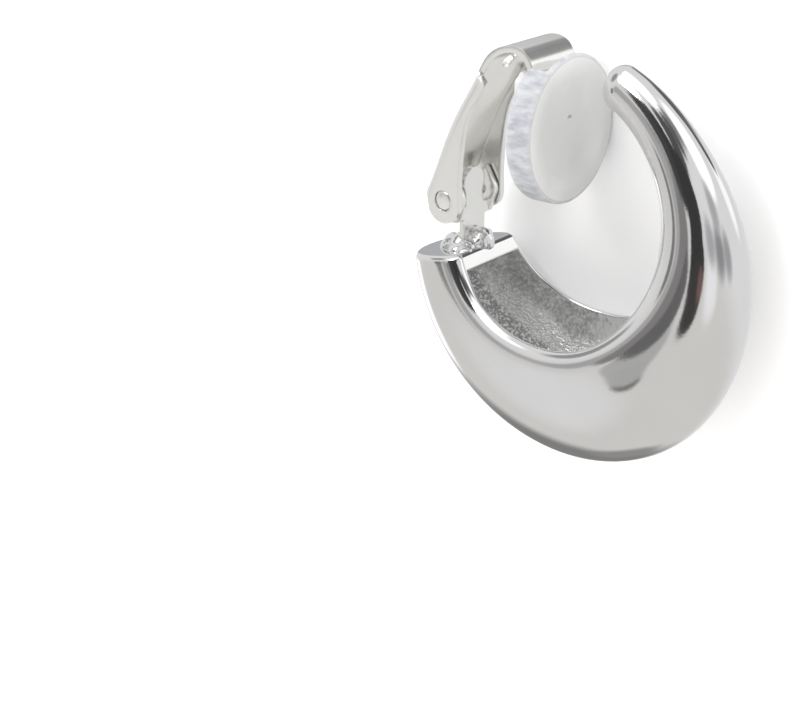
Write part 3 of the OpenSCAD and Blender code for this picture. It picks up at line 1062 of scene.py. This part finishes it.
sleeve = block(
    "sleeve",
    (flat_x + back_x, flat_y + slot_low - pocket_wall, -slot_w / 2 - pocket_wall),
    (flat_x + pad_x - pad_t / 2, flat_y + pad_y + pad_r, slot_w / 2 + pocket_wall),
)
keep_in = [(0, back_x - pad_x), (pad_r - rim_inset, back_x - pad_x), (pad_r - rim_inset, -0.3), (0, -0.3)]
combine(sleeve, turned("keep_in", keep_in, flat_x + pad_x, flat_y + pad_y), "INTERSECT")
combine(pad, sleeve, "UNION")
notch = block(
    "notch",
    (flat_x + back_x - 1, flat_y + pad_y + notch_y, -slot_w / 2),
    (flat_x + pad_x - face_skin, flat_y + pad_y + pad_r + 1, slot_w / 2),
)
combine(pad, notch, "DIFFERENCE")
tongue_slot = block(
    "tongue_slot",
    (flat_x + tongue_x - sheet_t - pocket_gap, flat_y + slot_low, -slot_w / 2),
    (flat_x + tongue_x + pocket_gap, flat_y + pad_y + pad_r + 1, slot_w / 2),
)
combine(pad, tongue_slot, "DIFFERENCE")
fused(pad, 0.085, 3, silicone)
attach(pad, "lever")
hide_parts("comfort_pad")
report(pad)

# %% [markdown]
# ## The clip's base
# The base is one stamping too: a flat stem stands on the hoop's end, and a yoke across it carries
# two ears, folded back. Each ear ends in a point and has a dimple pressed outwards, and those two
# dimples are the pivots that the lever's holes turn on. The stem is soldered to the hoop, and the
# solder shows as bright uneven beads.

# %% The base's ears
base_t = 0.45
ear_w = 1.8
ear_shift = 0.35
ear_top = 1.7
stem_w = 2.4
stem_front = 0.75
stem_top = 2.0
stem_waist = 0.22
yoke_low = 1.65
yoke_h = 0.9
ear_foot = 1.05
side_gap = 0.1
ear_out = lever_w / 2 - sheet_t - side_gap
solder_sink = 0.4
dimple_r = trunnion_d / 2 - 0.2

ear_r = ear_w / 2
ear_back = stem_front - ear_foot
turns = [math.radians(26 - 17 * k) for k in range(4)]
ear_edge = [(stem_front - 0.06, -yoke_low), (stem_front, -yoke_low + 0.06)]
ear_edge += [(ear_shift + ear_r * math.cos(a), ear_r * math.sin(a)) for a in reversed(turns)]
ear_edge += [(ear_shift + 0.08, ear_top - 0.08), (ear_shift - 0.08, ear_top - 0.08)]
turns = [math.radians(154 + 17 * k) for k in range(4)]
ear_edge += [(ear_shift + ear_r * math.cos(a), ear_r * math.sin(a)) for a in turns]
ear_edge += [(ear_back, -0.9), (ear_back, -yoke_low + 0.2), (ear_back + 0.2, -yoke_low)]
ear_points, ear_faces = fill_blank(ear_edge, [(0, 0, dimple_r)], 0.15)
base_parts = []
for side in (-1, 1):
    points = [place(flat_x + x, flat_y + y, side * ear_out) for x, y in ear_points]
    ear = new_piece("ear", points, faces=ear_faces)
    into_sheet(ear, base_t * MM, 0.04 * MM, across * side)
    base_parts.append(ear)

# %% [markdown]
# Each dimple is a small cup turned about the hinge's line: hollow on the inside and round on the
# outside, where it fills the lever's hole and ends flush with the flange.

# %% The pivots
pin_r = trunnion_d / 2
pin_out = lever_w / 2
cup_n = 48
cup = [(0, pin_out - 0.02), (pin_r - 0.16, pin_out - 0.02), (pin_r - 0.05, pin_out - 0.06)]
cup += [(pin_r, pin_out - 0.16), (pin_r, ear_out - 0.1)]
cup += [(dimple_r + 0.1, ear_out - base_t + 0.02), (dimple_r, ear_out - base_t + 0.1)]
cup += [(dimple_r, pin_out - 0.55), (dimple_r - 0.12, pin_out - 0.38), (0, pin_out - 0.32)]
for side in (-1, 1):
    points = []
    for k in range(cup_n):
        a = math.tau * k / cup_n
        points += [place(flat_x + r * math.cos(a), flat_y + r * math.sin(a), side * z) for r, z in cup]
    pin = new_piece("pin", points, faces=round_faces(len(cup), cup_n))
    tidy_mesh(pin)
    pin.data.shade_smooth()
    base_parts.append(pin)

# %% [markdown]
# The stem and the yoke are drawn as one flat blank, seen from the front, and get their thickness
# the same way. The stem has a slight waist between the ears and a round end above them.

# %% The stem and the yoke
half_w = stem_w / 2
stem_edge = [(-pivot_rise - solder_sink, half_w), (-yoke_low - 0.1, half_w), (-yoke_low, half_w + 0.1)]
stem_edge += [(-yoke_low, ear_out - 0.1), (-yoke_low + 0.1, ear_out)]
stem_edge += [(yoke_h - yoke_low - 0.1, ear_out), (yoke_h - yoke_low, ear_out - 0.1)]
stem_edge += [(yoke_h - yoke_low, half_w - stem_waist + 0.12), (yoke_h - yoke_low + 0.1, half_w - stem_waist)]
stem_edge += [(0.2, half_w - stem_waist)]
turns = [math.radians(15 * k) for k in range(7)]
stem_edge += [(stem_top - half_w + half_w * math.sin(a), half_w * math.cos(a)) for a in turns]
other_half = [(y, -z) for y, z in reversed(stem_edge) if z > 1e-6]
stem_points, stem_faces = fill_blank(stem_edge + other_half, [], 0.2)
stem_points = [place(flat_x + stem_front, flat_y + y, z) for y, z in stem_points]
stem = new_piece("stem", stem_points, faces=stem_faces)
into_sheet(stem, base_t * MM, 0.05 * MM, forward)
base_parts.append(stem)


def joined(name, parts):
    """One piece from several, with what they share in place."""
    bm = bmesh.new()
    for part in parts:
        bm.from_mesh(part.data)
    piece = new_piece(name, [])
    bm.to_mesh(piece.data)
    bm.free()
    for part in parts:
        bpy.data.objects.remove(part)
    return piece


base = joined("clip_base", base_parts)
base.data.materials.append(plated)
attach(base, "hoop")
report(base)

# %% [markdown]
# ### The solder
# Solder flows into the corner between the stem and the hoop and freezes in round beads. A few
# flattened balls, merged by a voxel remesh, give that look, and a ripple of rounded cells breaks
# them up. Each row places one ball: forward, rise and across, then radius and height.

# %% The solder beads
BEADS = [
    (0.95, 0.0, -0.1, 1.2, 1.25),
    (1.0, 0.1, -0.95, 0.6, 0.8),
    (0.2, 0.0, 0.7, 0.9, 1.15),
    (-0.85, 0.0, 0.5, 0.85, 0.95),
    (-0.3, 0.1, -0.7, 0.9, 0.9),
    (0.95, 0.0, 1.2, 0.7, 0.6),
    (0.4, 0.0, 1.6, 0.6, 0.45),
    (1.25, -0.1, 1.9, 0.6, 0.4),
]


def bead(x, rise, z, radius, height, rings=12, count=24):
    """A flattened ball on the hoop's flat end."""
    points = []
    for i in range(rings + 1):
        up = math.pi * i / rings
        for k in range(count):
            a = math.tau * k / count
            bx = x + radius * math.sin(up) * math.cos(a)
            by = rise + height * math.cos(up)
            bz = z + radius * math.sin(up) * math.sin(a)
            points.append(place(flat_x + bx, flat_y - pivot_rise + by - bx * lean_down, bz))
    sides = [
        (i * count + k, i * count + (k + 1) % count, (i + 1) * count + (k + 1) % count, (i + 1) * count + k)
        for i in range(rings)
        for k in range(count)
    ]
    body = new_piece("bead", points, faces=sides)
    tidy_mesh(body)
    return body


lean_down = -end_slope
foot = block(
    "foot",
    (flat_x + stem_front - base_t - 0.12, flat_y - pivot_rise - 0.4, -half_w - 0.1),
    (flat_x + stem_front + 0.12, flat_y - pivot_rise + 0.55, half_w + 0.1),
)
solder = joined("solder_beads", [bead(*row) for row in BEADS] + [foot])
fused(solder, 0.06, 8, solder_finish)
ripple = 0.2
cell_mm = 1.1
for vertex in solder.data.vertices:
    nearest = seeded.voronoi(vertex.co / (cell_mm * MM))[0][0]
    vertex.co += vertex.normal * ripple * MM * (0.5 - nearest)
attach(solder, "hoop")
report(solder)

# %% [markdown]
# ## The studio
# Polished metal shows the room more than it shows itself. The room here is bright, with soft
# darker and lighter patches. They draw the dark lines that make silver look like silver. Each row
# gives a patch's turn, tilt, spread and softness in degrees, and its colour. The rows were set
# to match the reflections in the photograph, whose pixels had been laid out by the direction of
# the room that each one mirrors. So the room suits that one view best.

# %% The room
world = bpy.data.worlds.new("light tent")
bpy.context.scene.world = world
world.use_nodes = True
world.node_tree.nodes.clear()
bench = Bench(world.node_tree)
look = bench.make("ShaderNodeTexCoord").out("Generated")


def towards(turn, tilt):
    """A direction in the room: degrees round from the front, and degrees down from overhead."""
    turn, tilt = math.radians(turn), math.radians(tilt)
    return Vector((math.sin(turn) * math.sin(tilt), -math.cos(turn) * math.sin(tilt), math.cos(tilt)))


def patch(turn, tilt, spread, softness):
    """1 in a round patch of the room, and 0 outside it."""
    sockets = {0: look, 1: tuple(towards(turn, tilt))}
    facing = bench.make("ShaderNodeVectorMath", {"operation": "DOT_PRODUCT"}, sockets, "Value")
    far = math.cos(math.radians(spread + softness))
    near = math.cos(math.radians(max(spread - softness, 0)))
    return smoothstep(bench, facing, far, near)


PATCHES = [
    ((0, 60, 75, 15), (0.69, 0.68, 0.66)),
    ((325, 48, 16, 14), (0.78, 0.78, 0.78)),
    ((297, 103, 10, 4), (1.3, 1.3, 1.3)),
    ((118, 140, 12, 5), (1.15, 1.15, 1.14)),
    ((142, 141, 9, 2), (0.12, 0.12, 0.12)),
    ((230, 142, 14, 7), (0.50, 0.50, 0.51)),
    ((265, 136, 10, 5), (0.45, 0.46, 0.48)),
    ((138, 88, 19, 4), (1.3, 1.3, 1.3)),
    ((180, 62, 19, 3), (1.4, 1.4, 1.4)),
    ((208, 46, 10, 3), (1.3, 1.3, 1.3)),
    ((80, 42, 9, 6), (0.90, 0.90, 0.92)),
    ((104, 44, 7, 5), (0.44, 0.44, 0.46)),
    ((98, 64, 9, 6), (0.30, 0.30, 0.31)),
    ((96, 84, 8, 6), (0.38, 0.38, 0.39)),
    ((117, 70, 8, 6), (0.45, 0.45, 0.46)),
    ((238, 64, 13, 4), (0.33, 0.33, 0.33)),
    ((275, 43, 6, 2), (0.22, 0.22, 0.22)),
    ((151, 62, 7, 3), (0.24, 0.24, 0.24)),
    ((152, 50, 7, 2), (0.12, 0.12, 0.12)),
    ((158, 36, 9, 2), (0.09, 0.09, 0.09)),
    ((266, 28, 7, 3), (0.42, 0.42, 0.42)),
    ((270, 14, 9, 2), (0.24, 0.23, 0.23)),
    ((195, 19, 11, 1), (0.045, 0.045, 0.047)),
    ((218, 18, 7, 2), (0.06, 0.06, 0.06)),
    ((342, 17, 8, 1), (0.46, 0.46, 0.45)),
    ((354, 27, 5, 1), (0.18, 0.18, 0.18)),
    ((350, 23, 6, 1), (0.44, 0.44, 0.43)),
    ((318, 9, 6, 1), (0.14, 0.14, 0.14)),
    ((138, 19, 14, 1), (0.045, 0.045, 0.047)),
    ((95, 14, 13, 1), (0.045, 0.045, 0.047)),
    ((60, 17, 9, 1), (0.055, 0.05, 0.05)),
    ((75, 22, 4, 2), (0.17, 0.11, 0.10)),
    ((332, 112, 20, 8), (0.24, 0.24, 0.235)),
    ((350, 104, 10, 5), (0.30, 0.30, 0.29)),
    ((180, 148, 14, 4), (0.15, 0.15, 0.155)),
    ((160, 133, 9, 4), (0.12, 0.12, 0.125)),
]
room = (0.80, 0.80, 0.80)
for where, colour in PATCHES:
    room = shade(bench, patch(*where), room, colour)
# Diffuse rays see a brighter room, which a real room can't do, so that the floor comes out white
paper_boost = 1.6
on_paper = bench.make("ShaderNodeLightPath").out("Is Diffuse Ray")
strength = 1 + paper_boost * on_paper
background = bench.make("ShaderNodeBackground", None, {"Color": room, "Strength": strength})
bench.make("ShaderNodeOutputWorld", None, {"Surface": background})
bpy.context.scene.view_settings.view_transform = "Standard"


# %% [markdown]
# One soft lamp shines from behind, high up. The floor is plain, pale paper. It is hidden from
# glossy rays, so the silver mirrors the room and not the paper.

# %% The lamp and the floor


def lamp(name, aim_at, distance, size, power):
    data = bpy.data.lights.new(name, "AREA")
    data.shape = "DISK"
    data.size = size * MM
    data.energy = power
    holder = bpy.data.objects.new(name, data)
    bpy.context.scene.collection.objects.link(holder)
    holder.location = middle + aim_at * distance * MM
    holder.rotation_mode = "QUATERNION"
    holder.rotation_quaternion = aim_at.to_track_quat("Z", "Y")


lamp("key", towards(200, 40), 160, 60, 0.05)

reach = 2
corners = [(-reach, -reach, 0), (reach, -reach, 0), (reach, reach, 0), (-reach, reach, 0)]
floor = new_piece("floor", corners, faces=[(0, 1, 2, 3)])
paper, bench, shader = new_finish("floor_paper")
tooth = noise(bench, bench.make("ShaderNodeTexCoord").out("Object"), 400.0, 2)
pale = shade(bench, tooth, (0.93, 0.93, 0.93), (0.95, 0.95, 0.95))
set_sockets(bench, shader, {"Base Color": pale, "Roughness": 0.9})
floor.data.materials.append(paper)
floor.visible_glossy = False
